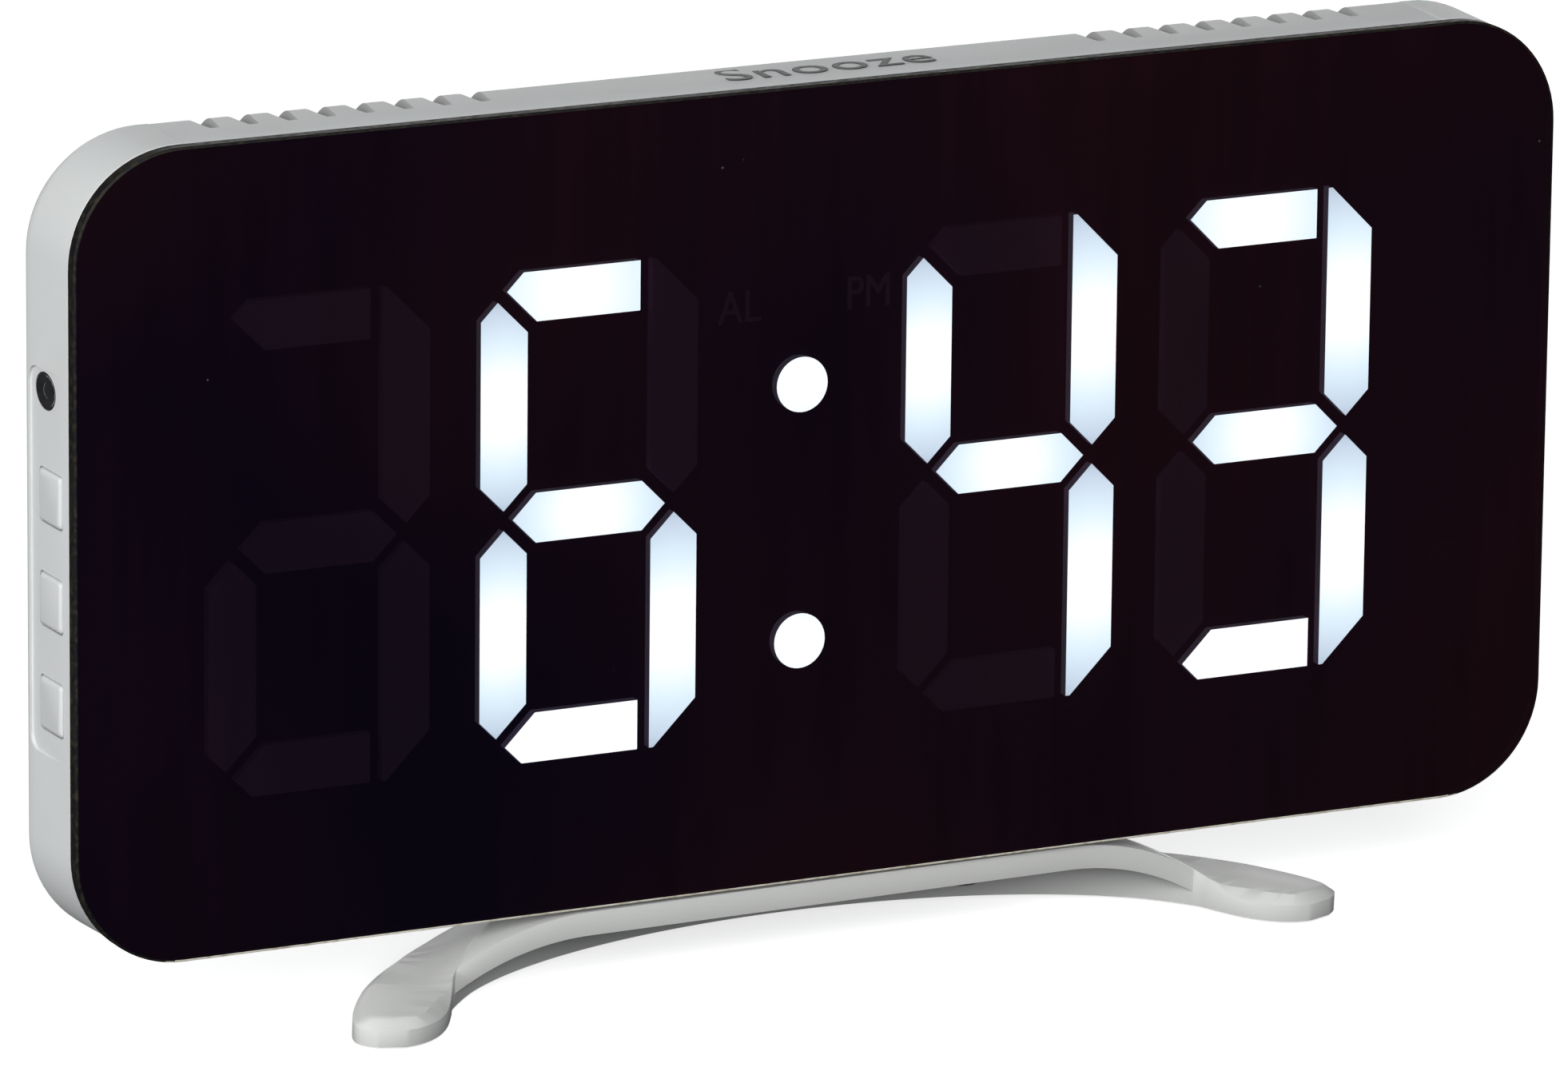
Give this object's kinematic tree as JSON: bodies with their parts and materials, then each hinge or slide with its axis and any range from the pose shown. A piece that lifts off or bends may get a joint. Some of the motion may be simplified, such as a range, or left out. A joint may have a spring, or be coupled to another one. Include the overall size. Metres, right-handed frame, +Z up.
{
  "type": "alarm clock",
  "caption": "Digital alarm clock with a black mirror front, large seven-segment digits, side buttons, a snooze bar on top and a low crescent stand.",
  "frame": {"origin": "middle of the clock's bounding box, on the surface that it stands on", "axes": "+X to the right as the display is read, +Y from the display to the back, +Z up"},
  "size_m": [0.1666, 0.0354, 0.0913],
  "materials": {
    "mirror_glass": "half-mirrored black glass, polished",
    "white_plastic": "fine satin moulding",
    "stand_plastic": "fine satin moulding",
    "black_plastic": "matt",
    "diffuser": "milky, lit from behind",
    "reflector": "matt white",
    "circuit_board": "solder resist",
    "plated_steel": "zinc or nickel plate",
    "contact_brass": "bright",
    "sensor_lens": "clear dark lens",
    "foot_rubber": "matt"
  },
  "bodies": {
    "clock": {"front_panel": "mirror_glass", "display_mask": "black_plastic", "diffuser_digit_1": "diffuser", "diffuser_digit_2": "diffuser", "diffuser_digit_3": "diffuser", "diffuser_digit_4": "diffuser", "diffuser_colon": "diffuser", "light_box": "reflector", "led_board": "circuit_board", "control_board": "circuit_board", "key_board": "circuit_board", "board_header": "black_plastic", "board_screw_1": "plated_steel", "board_screw_2": "plated_steel", "board_screw_3": "plated_steel", "board_screw_4": "plated_steel", "housing_frame": "white_plastic", "rear_cover": "white_plastic", "case_screw_1": "plated_steel", "case_screw_2": "plated_steel", "case_screw_3": "plated_steel", "case_screw_4": "plated_steel", "snooze_left_switch": "plated_steel", "snooze_right_switch": "plated_steel", "mode_switch": "plated_steel", "up_switch": "plated_steel", "down_switch": "plated_steel", "light_sensor": "sensor_lens", "power_inlet": "black_plastic", "power_inlet_pin": "contact_brass", "buzzer": "black_plastic", "cell_holder": "black_plastic", "cell_contact": "contact_brass", "coin_cell": "plated_steel", "stand": "stand_plastic", "stand_screw_left": "plated_steel", "stand_screw_right": "plated_steel", "foot_pad_left": "foot_rubber", "foot_pad_right": "foot_rubber", "foot_pad_rear": "foot_rubber"},
    "mode_key": {"mode_button": "white_plastic", "mode_plunger": "black_plastic"},
    "up_key": {"up_button": "white_plastic", "up_plunger": "black_plastic"},
    "down_key": {"down_button": "white_plastic", "down_plunger": "black_plastic"},
    "snooze_key": {"snooze_bar": "white_plastic", "snooze_left_plunger": "black_plastic", "snooze_right_plunger": "black_plastic"},
    "battery_lid": {"battery_door": "white_plastic"}
  },
  "joints": [
    {"name": "mode_press", "type": "slide", "parent": "clock", "child": "mode_key", "axis": [1, 0, 0], "range_m": [0, 0.0005], "stiffness_N_per_m": 3000},
    {"name": "up_press", "type": "slide", "parent": "clock", "child": "up_key", "axis": [1, 0, 0], "range_m": [0, 0.0005], "stiffness_N_per_m": 3000},
    {"name": "down_press", "type": "slide", "parent": "clock", "child": "down_key", "axis": [1, 0, 0], "range_m": [0, 0.0005], "stiffness_N_per_m": 3000},
    {"name": "snooze_press", "type": "slide", "parent": "clock", "child": "snooze_key", "axis": [0, -0.0698, -0.9976], "range_m": [0, 0.0006], "stiffness_N_per_m": 5000},
    {"name": "battery_door_slide", "type": "slide", "parent": "clock", "child": "battery_lid", "axis": [1, 0, 0], "range_m": [0, 0.026]}
  ]
}
